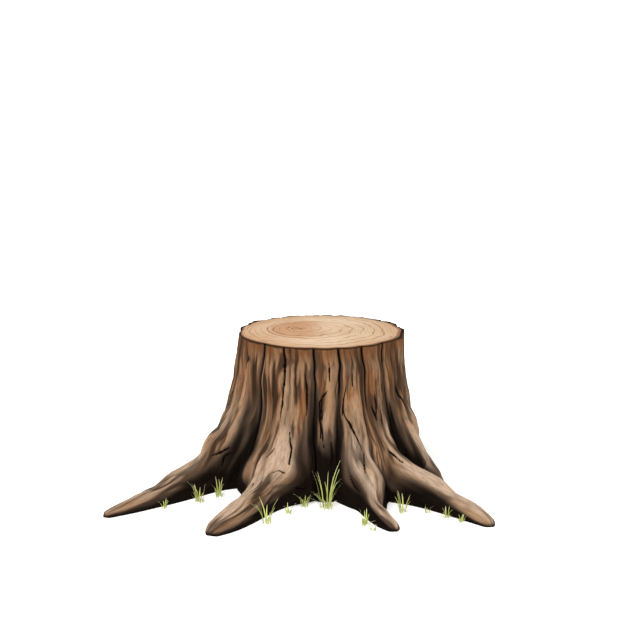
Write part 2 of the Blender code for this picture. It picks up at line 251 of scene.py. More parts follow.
def in_line(row, links, points, near=None):
    """A row's vertices in order along their links, from the end closest to near, or from the left end."""
    arched = max(points[i][2] for i in row) > TINY
    members = set(row)

    def beside(i):
        grounded = arched and points[i][2] < TINY
        return [j for j in links[i] if j in members and not (grounded and points[j][2] < TINY)]

    ends = [i for i in row if len(beside(i)) == 1]
    if near is None:
        a, b = points[ends[0]], points[ends[1]]
        start = ends[0] if a[0] * b[1] - a[1] * b[0] > 0.0 else ends[1]
    else:
        start = min(ends, key=lambda i: np.linalg.norm(points[i] - points[near]))
    order = [start]
    while len(order) < len(row):
        order.append(next(j for j in beside(order[-1]) if j not in order))
    return order


def by_angle(row, points, near):
    """An arch's vertices in order round the middle of its feet, from the foot near a given vertex."""
    feet = sorted(row, key=lambda i: points[i][2])[:2]
    feet.sort(key=lambda i: np.linalg.norm(points[i] - points[near]))
    left, right = points[feet[0]], points[feet[1]]
    middle, across = 0.5 * (left + right), right - left
    return sorted(row, key=lambda i: -math.atan2(points[i][2], (points[i] - middle) @ across))


def read_skin(node):
    """The outer skin of a bark slab: rows of points from rim to foot or tip, each from left to right."""
    mesh = joined_mesh(node)
    points = [np.array(vertex.co) for vertex in mesh.verts]
    links = [[edge.other_vert(vertex).index for edge in vertex.link_edges] for vertex in mesh.verts]
    mesh.free()
    row = [i for i, point in enumerate(points) if point[2] > HEIGHT - TINY]
    to_wood = {i: np.linalg.norm(sapwood_rim() - points[i], axis=1).min() for i in row}
    outer = sorted(row, key=to_wood.get)[len(row) // 2 :]
    seen, skin = set(), []
    while row:
        near = skin[-1][0] if skin else None
        below = sorted({j for i in row for j in links[i]} - seen - set(row))
        closed_tip = not below and len(row) == len(outer)
        skin.append(by_angle(outer, points, near) if closed_tip else in_line(outer, links, points, near))
        seen.update(row)
        inner = set(row) - set(outer)
        one_skin = len(below) == len(outer)
        outer = below if one_skin else [i for i in below if not inner.intersection(links[i])]
        row = below
    return np.array([[points[i] for i in row] for row in skin])


# --- Bark ---


class Bark:
    """The fine outer surface of one slab, as rows and columns of points, with the measures that shape it."""

    def __init__(self, node, number):
        self.node = node
        self.number = number
        knots = read_skin(node)
        self.core = f"wood_{node.removeprefix('bark_')}"
        self.is_root = self.core in NODES
        if self.is_root:
            knots = self.round_tip(knots)
        steps = np.linalg.norm(np.diff(knots, axis=0), axis=2).mean(axis=1)
        marks = np.concatenate(([0.0], np.cumsum(steps)))
        widths = np.linalg.norm(np.diff(knots, axis=1), axis=2).sum(axis=1)
        self.rows = whole_cells(marks[-1], ROW_STEP)
        self.columns = whole_cells(widths[: len(widths) * 2 // 3].mean(), COLUMN_STEP)
        at_row = np.interp(np.linspace(0.0, marks[-1], self.rows + 1), marks, np.arange(len(marks)))
        at_column = np.linspace(0.0, knots.shape[1] - 1, self.columns + 1)
        smooth = spline(knots, at_row)
        smooth = spline(smooth.swapaxes(0, 1), at_column).swapaxes(0, 1)
        smooth[:, :, 2] = np.clip(smooth[:, :, 2], 0.0, HEIGHT)
        self.smooth = smooth
        self.measure()
        self.smooth = wander(self.fill_hollows())
        self.measure()

    def round_tip(self, knots):
        """Adds a last, smaller row, so that the root ends in a blunt round tip."""
        last, before = knots[-1], knots[-2]
        centre, middle = 0.5 * (last[0] + last[-1]), 0.5 * (before[0] + before[-1])
        forward = (centre - middle) / np.linalg.norm(centre - middle)
        reach = 0.25 * np.linalg.norm(last[-1] - last[0])
        tip = centre + forward * reach + (last - centre) * 0.25
        return np.concatenate((knots, tip[None]))

    def measure(self):
        """Distances along and across the slab, and the direction out of it, at each point."""
        surface = self.smooth
        steps = np.linalg.norm(np.diff(surface, axis=1), axis=2)
        across = np.concatenate((np.zeros((len(surface), 1)), np.cumsum(steps, axis=1)), axis=1)
        self.width = across[:, -1:]
        self.across = across - 0.5 * self.width
        self.sides = (across, self.width - across)
        self.edge = np.minimum(*self.sides)
        steps = np.linalg.norm(np.diff(surface, axis=0), axis=2).mean(axis=1)
        self.along = np.repeat(np.concatenate(([0.0], np.cumsum(steps)))[:, None], self.columns + 1, axis=1)
        self.share = np.repeat(np.linspace(0.0, 1.0, self.columns + 1)[None], self.rows + 1, axis=0)
        out = np.cross(np.gradient(surface, axis=0), np.gradient(surface, axis=1))
        self.out = out / np.maximum(np.linalg.norm(out, axis=2, keepdims=True), 1e-12)
        self.height = surface[:, :, 2]
        usual = np.median(self.width)
        self.flow = self.across * np.sqrt(usual / np.maximum(self.width, 0.01))

    def style(self, what):
        """One of the styles' columns for the fissures at the left and right edge, row by row."""
        found = []
        for corner in (0, -1):
            rim = self.smooth[0, corner]
            bearing = math.degrees(math.atan2(rim[0], -rim[1]))
            height = self.smooth[:, corner, 2]
            values = np.full(len(height), 0.0 if what == FILLING else 1.0)
            for middle, points in FISSURE_STYLES.items():
                if abs(bearing - middle) < 1.0:
                    table = np.array(points[::-1])
                    values = np.interp(height, table[:, 0], table[:, what])
            found.append(values[:, None])
        return found

    def fill_hollows(self):
        """Moves the edges of some slabs outwards, where two roots share one broad buttress."""
        points = self.smooth.copy()
        for side, amount in zip(self.sides, self.style(FILLING)):
            near = (1.0 - ease(side / (0.42 * self.width))) * amount
            points[:, :, :2] += level_out(points)[:, :, :2] * near[:, :, None]
        return points

    def field(self, feature, seed):
        """Noise whose features run along the slab. It is bent a little, so that they wander."""
        wide, long, _ = feature
        seed = seed + 97 * self.number
        wander = 0.45 * noise(self.flow / (2.0 * wide) + 11.3, self.along / (0.6 * long), seed + 1)
        return noise(self.flow / wide + wander + 31.7, self.along / long, seed)

    def shape(self, cracks):
        """Adds the swells, ridges, grain, fissures and cracks to the smooth surface."""
        swell, ridge, grain = self.field(SWELLS, 1), self.field(RIDGES, 5), self.field(GRAIN, 9)
        above_ground = ease(self.height, 0.0, GROUND_FADE)
        wear_and_highlight = mix(0.55, 1.0, 0.5 + 0.5 * self.field(SWELLS, 21))
        fissure = np.zeros_like(swell)
        for side, openness in zip(self.sides, self.style(OPENNESS)):
            fissure = np.maximum(fissure, (1.0 - ease(side, 0.0, FISSURE_WIDTH * wear_and_highlight)) * openness)
        fissure = fissure * above_ground
        crack = np.zeros_like(fissure)
        for points, half_width in cracks:
            crack = np.maximum(crack, self.crack(points, half_width))
        slim = ease(self.width, *SLIM)
        ridge = 2.2 * np.abs(ridge) - 0.8
        relief = (swell * SWELLS[2] + ridge * RIDGES[2]) * slim + grain * GRAIN[2] + self.patches(KNUCKLES)
        relief = relief + TRUNK_SWELL * ease(self.height, *SWELL_HEIGHTS)
        relief = relief * ease(self.edge, 0.0, EDGE_FADE)
        deep = mix(1.0, RIM_DEPTH_SHARE, ease(self.height, HEIGHT - RIM_DEPTH_FADE, HEIGHT))
        relief = relief - FISSURE_DEPTH * deep * np.maximum(fissure, crack * mix(0.4, 1.0, slim))
        relief = relief * np.maximum(above_ground, 0.15)
        at_edge = (1.0 - ease(self.edge, 0.0, EDGE_FADE)) * above_ground
        direction = mix(self.out, level_out(self.smooth), at_edge[:, :, None])
        direction[:, :, 2] *= 1.0 - ease(self.height, HEIGHT - RIM_FADE, HEIGHT)
        relief = self.clear_of_wood(direction, relief)
        self.surface = self.smooth + direction * relief[:, :, None]
        self.surface[:, :, 2] = np.clip(self.surface[:, :, 2], 0.0, HEIGHT)
        self.relief = swell * 0.5 + ridge * 0.4 + grain * 0.12
        self.crevice = np.maximum(fissure, crack)

    def clear_of_wood(self, direction, relief):
        """The relief, raised wherever the surface would come too near the wood under it."""
        length = np.linalg.norm(direction, axis=2)
        unit = direction / length[:, :, None]
        starts = self.smooth + unit * WOOD_REACH
        starts[:, :, 2] = np.clip(starts[:, :, 2], TINY, HEIGHT - TINY)
        relief = relief.copy()
        for wood in ("sapwood", self.core):
            if wood not in NODES:
                continue
            data = NODES[wood].data
            tree = BVHTree.FromPolygons([v.co for v in data.vertices], [p.vertices[:] for p in data.polygons])
            for place in np.ndindex(relief.shape):
                way = unit[place]
                hit, normal, _, distance = tree.ray_cast(starts[place], -way, 2.0 * WOOD_REACH)
                if hit is not None and normal @ Vector(way) > 0.0:
                    least = (WOOD_REACH - distance + LEAST_BARK) / length[place]
                    relief[place] = max(relief[place], least)
        return relief

    def patches(self, table):
        """The sum of a table's soft patches on this slab."""
        found = np.zeros_like(self.along)
        for share, along, half_share, half_length, amount in table.get(self.node, ()):
            away = np.hypot((self.share - share) / half_share, (self.along - along) / half_length)
            found = found + amount * ease(1.0 - away / 1.6)
        return found

    def crack(self, points, half_width):
        """1 along a crack and 0 away from it. Its points are a share of the width and a distance along."""
        found = np.zeros_like(self.along)
        ragged = 1.0 + 0.35 * noise(self.along / 0.006, self.flow / 0.02, 7 + self.number)
        lengths = [math.dist(a, b) for a, b in zip(points, points[1:])]
        done = 0.0
        for (from_share, from_along), (to_share, to_along), length in zip(points, points[1:], lengths):
            row = np.argmin(abs(self.along[:, 0] - 0.5 * (from_along + to_along)))
            width = float(self.width[row, 0])
            step = np.array(((to_share - from_share) * width, to_along - from_along))
            offset_x = (self.share - from_share) * width
            offset_y = self.along - from_along
            place = np.clip((offset_x * step[0] + offset_y * step[1]) / (step @ step), 0.0, 1.0)
            distance = np.hypot(offset_x - place * step[0], offset_y - place * step[1])
            taper = np.sin(math.pi * np.clip((done + place * length) / sum(lengths), 0.02, 0.98)) ** 0.5
            found = np.maximum(found, ease(1.0 - distance / (half_width * taper * ragged)))
            done += length
        return found

    def build(self, finish):
        """Makes the slab one closed piece: the fine outer side, a coarse inner side, and the four edges."""
        inner = self.surface_inside()
        rows, columns = self.rows + 1, self.columns + 1
        every = INNER_EVERY
        points = np.concatenate((self.surface.reshape(-1, 3), inner.reshape(-1, 3)))
        outer_id = np.arange(rows * columns).reshape(rows, columns)
        inner_id = rows * columns + np.arange(inner.shape[0] * inner.shape[1]).reshape(inner.shape[:2])
        faces = quads(outer_id) + quads(inner_id[:, ::-1])
        for side, inside in (
            (outer_id[::-1, 0], inner_id[::-1, 0]),
            (outer_id[:, -1], inner_id[:, -1]),
            (outer_id[0], inner_id[0]),
            (outer_id[-1, ::-1], inner_id[-1, ::-1]),
        ):
            for cell in range(len(inside) - 1):
                strip = side[cell * every : (cell + 1) * every + 1]
                faces.append([*strip.tolist(), int(inside[cell + 1]), int(inside[cell])])
        piece = make_piece(f"{self.node}_surface", points, faces, finish, sharp=65.0)
        self.store(piece, len(points))
        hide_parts(self.node)

    def surface_inside(self):
        """The hidden inner side, on some of the rows and columns."""
        every = INNER_EVERY
        thick = mix(BARK_AT_RIM, BARK_THICKNESS, np.clip(self.along[::every, :1] / THIN_RIM, 0.0, 1.0))
        thick = np.minimum(thick, SLIM_ROOT_SHARE * self.width[::every])[:, :, None]
        inner = self.smooth[::every, ::every] - self.out[::every, ::every] * thick
        inner[:, :, 2] = np.clip(inner[:, :, 2], 0.0, HEIGHT)
        inner[0, :, 2] = HEIGHT
        return inner

    def store(self, piece, count):
        """Keeps the measures that the bark's colours are worked out from. The inner side is all painted
        shade.
        """
        flow = np.zeros((count, 3), np.float32)
        flow[: self.relief.size, 0] = self.flow.ravel() + self.number
        flow[: self.relief.size, 1] = self.along.ravel()
        piece.data.attributes.new("flow", "FLOAT_VECTOR", "POINT").data.foreach_set("vector", flow.ravel())
        for name, values, inside in (
            ("relief", self.relief, 0.0),
            ("crevice", self.crevice, 0.0),
            ("painted_shade", self.painted_shade(), 1.0),
            ("crest", self.crest(), 0.0),
        ):
            padded = np.full(count, inside, np.float32)
            padded[: values.size] = values.ravel()
            store_values(piece.data, name, padded)

    def painted_shade(self):
        """0 on open bark and 1 where shade is painted on the flanks: near fissures, and low between roots."""
        drop = ease(self.along, 0.04, 0.9 * HEIGHT)
        far = ease(self.along, *FAR_OUT)
        low_reach = FLANK_OF_ROOT if self.is_root else FLANK_OF_PANEL
        reach = mix(FLANK_AT_RIM, low_reach, drop) * mix(1.0, FAR_FLANK, far)
        strength = mix(SHADE_AT_RIM, SHADE_AT_FOOT, drop) * mix(1.0, FAR_SHADE, far)
        ragged = 0.20 * self.field(SWELLS, 25) + 0.10 * self.field(RIDGES, 27)
        found = np.zeros_like(drop)
        for side, darkness in zip(self.sides, self.style(SHADE_BESIDE)):
            inward = side / np.maximum(0.5 * self.width, 0.01)
            flank = 1.0 - ease(inward + ragged, 0.0, reach)
            found = np.maximum(found, flank * strength * darkness)
        if not self.is_root:
            narrow = 1.0 - 0.7 * ease(self.width, 0.07, 0.12)
            found = np.maximum(found, narrow * ease(HEIGHT - self.height + 0.25 * ragged, 0.10, 0.28))
        found = np.maximum(found, self.patches(SHADE_PATCHES) * ease(1.0 + ragged, 0.6, 1.0))
        return np.clip(found, 0.0, 1.0)

    def crest(self):
        """1 along the crests of the roots and of their shoulders, where a highlight is painted."""
        inward = self.edge / np.maximum(0.5 * self.width, 0.01)
        ragged = 0.22 * self.field(SWELLS, 31) + 0.12 * self.field(RIDGES, 33)
        drop = ease(self.along, 0.10, HEIGHT)
        return ease(inward + ragged, 0.50, 0.95) * mix(0.25, 1.0, drop)


def level_out(points):
    """The level direction away from the trunk's axis at each point."""
    out = points * np.array((1.0, 1.0, 0.0))
    return out / np.linalg.norm(out, axis=-1, keepdims=True)


def wander(points):
    """Shifts points round the trunk by smooth noise, so that no fissure is straight. Neighbours go alike."""
    x, y, z = np.moveaxis(points, -1, 0)
    east, north = level_out(points)[:, :, 0], level_out(points)[:, :, 1]
    turn = SLOW_WANDER * noise(9.0 + 3.0 * east, z / SLOW_BEND + 3.0 * north, 61)
    turn = turn + QUICK_WANDER * noise(9.0 + 8.0 * east, z / QUICK_BEND + 8.0 * north, 62)
    turn = turn * ease(z, 0.02, 0.10) * ease(HEIGHT - z, 0.0, 0.05)
    return np.stack((x * np.cos(turn) - y * np.sin(turn), x * np.sin(turn) + y * np.cos(turn), z), axis=-1)


def quads(ids):
    """Faces over a grid of vertex numbers."""
    corners = (ids[:-1, :-1], ids[1:, :-1], ids[1:, 1:], ids[:-1, 1:])
    return np.stack([corner.ravel() for corner in corners], axis=1).tolist()


def store_values(data, name, values):
    """Keeps one number per vertex in a mesh, for its material to read."""
    values = np.asarray(values, np.float32)
    data.attributes.new(name, "FLOAT", "POINT").data.foreach_set("value", values)


def show(data, finish, sharp):
    """Puts a mesh of the stump in the scene, smooth but for edges sharper than an angle in degrees."""
    data.shade_smooth()
    data.set_sharp_from_angle(angle=math.radians(sharp))
    data.materials.append(finish)
    piece = bpy.data.objects.new(data.name, data)
    bpy.context.scene.collection.objects.link(piece)
    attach(piece, "root")
    return piece


def make_piece(name, points, faces, finish, sharp):
    """A shown piece of the stump, from points and faces."""
    data = bpy.data.meshes.new(name)
    data.from_pydata(np.asarray(points).tolist(), [], faces)
    data.update()
    return show(data, finish, sharp)


# Cracks of the slabs in front: points, each a share of the width and a distance along, and half of its width
CRACKS = {
    "bark_left_root": (
        (((0.64, 0.02), (0.66, 0.05), (0.65, 0.09)), 0.0024),
        (((0.51, 0.17), (0.46, 0.20), (0.42, 0.24)), 0.0050),
        (((0.72, 0.29), (0.68, 0.32), (0.63, 0.36)), 0.0034),
    ),
    "bark_front_left_root": (
        (((0.47, -0.01), (0.49, 0.08), (0.48, 0.13), (0.45, 0.21)), 0.0040),
        (((0.57, 0.23), (0.59, 0.27), (0.58, 0.32)), 0.0040),
        (((0.49, 0.357), (0.55, 0.345), (0.61, 0.343)), 0.0034),
        (((0.45, 0.28), (0.42, 0.29), (0.39, 0.305)), 0.0028),
        (((0.34, 0.36), (0.28, 0.38), (0.24, 0.42)), 0.0036),
        (((0.75, 0.06), (0.77, 0.11), (0.76, 0.16)), 0.0030),
    ),
    "bark_front_panel": (
        (((0.50, 0.10), (0.30, 0.13), (0.36, 0.18), (0.44, 0.24)), 0.0036),
        (((0.54, 0.03), (0.57, 0.08)), 0.0026),
    ),
    "bark_front_right_root": (
        (((0.24, 0.12), (0.30, 0.17), (0.44, 0.24), (0.54, 0.29)), 0.0042),
        (((0.45, 0.07), (0.47, 0.11)), 0.0028),
        (((0.56, 0.29), (0.43, 0.35)), 0.0030),
    ),
    "bark_right_root": (
        (((0.28, 0.15), (0.38, 0.20)), 0.0034),
        (((0.32, 0.27), (0.38, 0.30), (0.43, 0.34)), 0.0038),
    ),
    "bark_rear_right_root": (
        (((0.30, 0.10), (0.33, 0.15), (0.43, 0.21)), 0.0038),
        (((0.14, 0.14), (0.15, 0.20)), 0.0060),
    ),
}


def chance_cracks(bark, count):
    """Seeded cracks for a slab, each running roughly along it."""
    draw = np.random.default_rng(bark.number + 500)
    found = []
    for _ in range(count):
        share, start = draw.uniform(0.15, 0.85), draw.uniform(0.0, 0.75) * bark.along[-1, 0]
        length, half_width = draw.uniform(0.03, 0.11), draw.uniform(0.0016, 0.0034)
        bends = share + np.cumsum(draw.uniform(-0.05, 0.05, 3))
        points = [(bend, start + length * part) for bend, part in zip(bends, (0.0, 0.5, 1.0))]
        found.append((points, half_width))
    return found


def make_bark(finish):
    """The bark's slabs. Those in front have placed cracks and a few by chance, the others only by chance."""
    names = sorted(name for name in NODES if name.startswith("bark_"))
    for number, name in enumerate(names):
        bark = Bark(name, number)
        placed = CRACKS.get(name, ())
        chance = 3 if placed else (12 if bark.is_root else 4)
        bark.shape([*placed, *chance_cracks(bark, chance)])
        bark.build(finish)


# --- Cut face ---


def circle_of(node):
    """Centre and radius of an upright round node."""
    low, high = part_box(node)
    return np.array((0.5 * (low.x + high.x), 0.5 * (low.y + high.y))), 0.5 * (high.x - low.x)


def outline_of(node):
    """The outer edge of a node's top, in order round it."""
    mesh = joined_mesh(node)
    top = {vertex for vertex in mesh.verts if vertex.co.z > HEIGHT - TINY}
    sides = [face for face in mesh.faces if not top.issuperset(face.verts)]
    rim = [edge for face in sides for edge in face.edges if top.issuperset(edge.verts)]
    start = max(top, key=lambda vertex: vertex.co.xy.length)
    order = [start]
    while True:
        onward = [edge.other_vert(order[-1]) for edge in rim if order[-1] in edge.verts]
        onward = [vertex for vertex in onward if vertex not in order]
        if not onward:
            break
        order.append(onward[0])
    points = np.array([vertex.co.xy for vertex in order])
    mesh.free()
    return points


class CutFace:
    """The sawn top. A place on it is a bearing round the pith and a share of the way out to the bark."""

    def __init__(self):
        self.pith, self.pith_radius = circle_of("pith")
        self.heart, self.heart_radius = circle_of("heartwood")
        outline = outline_of("sapwood")
        turns = np.arctan2(*(outline - self.pith).T[::-1])
        order = np.argsort(turns)
        self.turns = turns[order]
        self.outline = outline[order]

    def out_to_bark(self, turn):
        """Distance from the pith to the edge of the wood at a bearing."""
        reach = np.linalg.norm(self.outline - self.pith, axis=1)
        return np.interp(turn, self.turns, reach, period=math.tau)

    def share(self, x, y):
        """0 at the pith and 1 at the bark. Its equal lines are the growth rings."""
        dx, dy = x - self.pith[0], y - self.pith[1]
        return np.hypot(dx, dy) / self.out_to_bark(np.arctan2(dy, dx))

    def relief(self, x, y):
        """Height of the sawn surface against its plane, and how deep it lies in a check, from 0 to 1."""
        share = self.share(x, y)
        turn = np.arctan2(y - self.pith[1], x - self.pith[0])
        reach = self.out_to_bark(turn)
        wander = 0.8 * noise(3.0 + np.cos(turn) * 2.2, 3.0 + np.sin(turn) * 2.2 + share * 3.0, 41)
        rings = np.sin(math.tau * (share * reach.mean() / RING_SPACING + wander))
        check = np.zeros_like(share)
        distance = share * reach
        for bearing, length, half_width in CHECKS:
            bent = bearing + 0.20 * noise(distance / 0.008, 0.0 * distance + bearing, 43)
            off = np.abs((turn - bent + math.pi) % math.tau - math.pi) * np.maximum(distance, 0.004)
            taper = half_width * np.sqrt(np.clip(1.0 - distance / length, 0.0, 1.0)) + 1e-6
            check = np.maximum(check, ease(1.0 - off / taper) * (distance < length))
        first, widening, half_width = WINDING
        for lap in (0.0, 1.0):
            middle = first + widening * (lap + turn / math.tau + 0.5)
            middle = middle + 0.0016 * noise(3.0 + turn * 2.0, share * 9.0, 47)
            broken = ease(noise(3.0 + turn * 1.3, lap * 5.0 + 0.0 * turn, 53), -0.5, 0.2)
            check = np.maximum(check, ease(1.0 - np.abs(distance - middle) / half_width) * broken)
        fade = ease(1.0 - share, 0.0, 0.02)
        return (RING_RELIEF * rings - CHECK_DEPTH * check) * fade, check

    def build(self, node, finish):
        """A copy of a CAD node whose flat top is replaced by a fine one with the rings and checks in it."""
        mesh = joined_mesh(node)
        on_top = [face for face in mesh.faces if all(v.co.z > HEIGHT - TINY for v in face.verts)]
        bmesh.ops.delete(mesh, geom=on_top, context="FACES_ONLY")
        rim = [edge for edge in mesh.edges if edge.is_boundary]
        bmesh.ops.subdivide_edges(mesh, edges=rim, cuts=3)
        fine = self.rings(mesh, node)
        on_rim = [edge for edge in mesh.edges if min(v.co.z for v in edge.verts) > HEIGHT - TINY]
        rim = [edge for edge in on_rim if edge.is_boundary]
        bmesh.ops.triangle_fill(mesh, edges=rim, use_beauty=True)
        bmesh.ops.recalc_face_normals(mesh, faces=mesh.faces[:])
        inside = set(fine)
        x, y = np.array([vertex.co.xy for vertex in mesh.verts]).T
        depth, check = self.relief(x, y)
        for vertex, lift in zip(mesh.verts, depth):
            if vertex in inside:
                vertex.co.z = HEIGHT + lift
        data = bpy.data.meshes.new(f"{node}_sawn")
        mesh.to_mesh(data)
        mesh.free()
        store_values(data, "ring", self.share(x, y))
        store_values(data, "check", check)
        piece = show(data, finish, sharp=50.0)
        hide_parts(node)

    def rings(self, mesh, node):
        """Adds a node's fine rings between its top's inner and outer edge, and returns their vertices."""
        turns = np.linspace(-math.pi, math.pi, FACE_COLUMNS, endpoint=False)
        rays = np.stack((np.cos(turns), np.sin(turns)), axis=1)
        to_heart = ray_to_circle(self.pith, rays, self.heart, self.heart_radius)
        near, far = {
            "pith": (np.full(FACE_COLUMNS, 0.0004), np.full(FACE_COLUMNS, self.pith_radius * 0.93)),
            "heartwood": (np.full(FACE_COLUMNS, self.pith_radius * 1.3), to_heart - 0.0020),
            "sapwood": (to_heart + 0.0028, self.out_to_bark(turns) - 0.0020),
        }[node]
        count = max(2, round((far - near).max() / FACE_STEP))
        loops = []
        for place in np.linspace(0.0, 1.0, count + 1):
            spots = self.pith + rays * mix(near, far, place)[:, None]
            loops.append([mesh.verts.new((*spot, HEIGHT)) for spot in spots])
        for low, high in zip(loops, loops[1:]):
            for a, b, c, d in zip(low, low[1:] + low[:1], high[1:] + high[:1], high):
                mesh.faces.new((a, b, c, d))
        return [vertex for loop in loops for vertex in loop]


def ray_to_circle(start, rays, centre, radius):
    """Distance from a point inside a circle to it, along each ray."""
    offset = centre - start
    along = rays @ offset
    return along + np.sqrt(along**2 + radius**2 - offset @ offset)


def make_cut_face(finishes):
    """The sawn tops of the three kinds of wood."""
    face = CutFace()
    for node in ("sapwood", "heartwood", "pith"):
        face.build(node, finishes[node])


# --- Grass ---

BLADE_SEGMENTS = 7
BLADE_WIDTH = 0.0036

# A tuft has this many tall and short blades, and one more for each such step of its height
LEAST_BLADES = 5
TALL_STEP = 0.011
SHORT_STEP = 0.008


def add_blade(draw, foot, bearing, length, lean, points, faces, tips, tints):
    """One keeled blade: three edges that run from a closed foot to a point, bending outwards."""
    outward = np.array((math.cos(bearing), math.sin(bearing), 0.0))
    side = np.array((-outward[1], outward[0], 0.0))
    tint = draw.uniform(0.0, 1.0)
    half = 0.5 * BLADE_WIDTH * draw.uniform(0.7, 1.15) * min(1.0, 0.55 + length / 0.06)
    twist = draw.uniform(-0.5, 0.5)
    start = len(points)
    for segment in range(BLADE_SEGMENTS + 1):
        share = segment / BLADE_SEGMENTS
        spine = foot + outward * (lean * length * share**1.9)
        spine = spine + np.array((0.0, 0.0, length * (share - 0.18 * lean * share**3)))
        slim = half * (1.0 - share**1.8) * (0.65 + 0.7 * share * (1.0 - share)) + 0.00012
        flat = side * math.cos(twist * share) + outward * math.sin(twist * share)
        keel = np.cross(flat, (0.0, 0.0, 1.0)) * slim * 0.35
        points.extend((spine - flat * slim, spine + keel, spine + flat * slim))
        tips.extend((share,) * 3)
        tints.extend((tint,) * 3)
    for segment in range(BLADE_SEGMENTS):
        base = start + 3 * segment
        for a, b in ((0, 1), (1, 2), (2, 0)):
            faces.append((base + a, base + b, base + b + 3, base + a + 3))
    faces.append((start + 2, start + 1, start))
    end = start + 3 * BLADE_SEGMENTS
    faces.append((end, end + 1, end + 2))


def make_tuft(node, finish):
    """Fine blades in the space of one CAD tuft, a few tall ones and many short ones."""
    low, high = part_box(node)
    height = high.z
    centre = np.array((0.5 * (low.x + high.x), 0.5 * (low.y + high.y), 0.0))
    spread = 0.5 * max(high.x - low.x, high.y - low.y)
    draw = np.random.default_rng(sum(map(ord, node)))
    points, faces, tips, tints = [], [], [], []
    tall = LEAST_BLADES + round(height / TALL_STEP)
    short = LEAST_BLADES + round(height / SHORT_STEP)
    for blade in range(tall + short):
        bearing = draw.uniform(0.0, math.tau)
        away = spread * 0.9 * math.sqrt(draw.uniform())
        foot = centre + np.array((math.cos(bearing), math.sin(bearing), 0.0)) * away
        reach = draw.uniform(0.65, 1.30) if blade < tall else draw.uniform(0.25, 0.60)
        lean = draw.uniform(0.05, 0.60) if blade < tall else draw.uniform(0.3, 1.0)
        bearing = bearing + draw.uniform(-0.6, 0.6)
        add_blade(draw, foot, bearing, height * reach, lean, points, faces, tips, tints)
    piece = make_piece(f"{node}_blades", points, faces, finish, sharp=60.0)
    store_values(piece.data, "tip", tips)
    store_values(piece.data, "tint", tints)
    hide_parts(node)


# --- Materials ---


class Finish:
    """A material, with short calls for the nodes that this scene uses."""

    def __init__(self, name, roughness, specular=0.25):
        self.material = bpy.data.materials.new(name)
        self.material.use_nodes = True
        self.nodes = self.material.node_tree.nodes
        self.shader = self.nodes["Principled BSDF"]
        self.shader.inputs["Roughness"].default_value = roughness
        self.shader.inputs["Specular IOR Level"].default_value = specular

    def add(self, kind, inputs, **settings):
        """A new node. Its inputs are numbers, colours or the sockets that feed them."""
        node = self.nodes.new(kind)
        for name, value in settings.items():
            setattr(node, name, value)
        for name, value in inputs.items():
            self.put(node.inputs[name], value)
        return node

    def put(self, socket, value):
        if isinstance(value, bpy.types.NodeSocket):
            self.material.node_tree.links.new(value, socket)
        elif isinstance(value, tuple) and socket.type == "RGBA":
            socket.default_value = (*value, 1.0)
        else:
            socket.default_value = value

    def stored(self, name, vector=False):
        """A measure that the mesh keeps for each vertex."""
        node = self.add("ShaderNodeAttribute", {}, attribute_name=name)
        return node.outputs["Vector" if vector else "Fac"]

    def place(self):
        return self.add("ShaderNodeNewGeometry", {}).outputs["Position"]

    def stretch(self, vector, scales):
        return self.add("ShaderNodeVectorMath", {0: vector, 1: scales}, operation="MULTIPLY").outputs[0]

    def noise(self, vector, detail=3.0, roughness=0.55):
        inputs = {"Vector": vector, "Scale": 1.0, "Detail": detail, "Roughness": roughness}
        return self.add("ShaderNodeTexNoise", inputs).outputs["Fac"]

    def step(self, value, low, high, start=0.0, end=1.0):
        """start below low, end above high, and a smooth S between them."""
        inputs = {"Value": value, "From Min": low, "From Max": high, "To Min": start, "To Max": end}
        return self.add("ShaderNodeMapRange", inputs, interpolation_type="SMOOTHSTEP").outputs["Result"]

    def maths(self, operation, a, b=0.0):
        return self.add("ShaderNodeMath", {0: a, 1: b}, operation=operation).outputs[0]

    def blend(self, share, a, b, how="MIX"):
        node = self.add("ShaderNodeMix", {0: share, 6: a, 7: b}, data_type="RGBA", blend_type=how)
        return node.outputs[2]

    def finish(self, colour, bump=None, distance=0.001, strength=1.0):
        """The material, with its colour and any fine bump."""
        self.put(self.shader.inputs["Base Color"], colour)
        if bump is not None:
            inputs = {"Height": bump, "Distance": distance, "Strength": strength}
            normal = self.add("ShaderNodeBump", inputs).outputs["Normal"]
            self.put(self.shader.inputs["Normal"], normal)
        return self.material


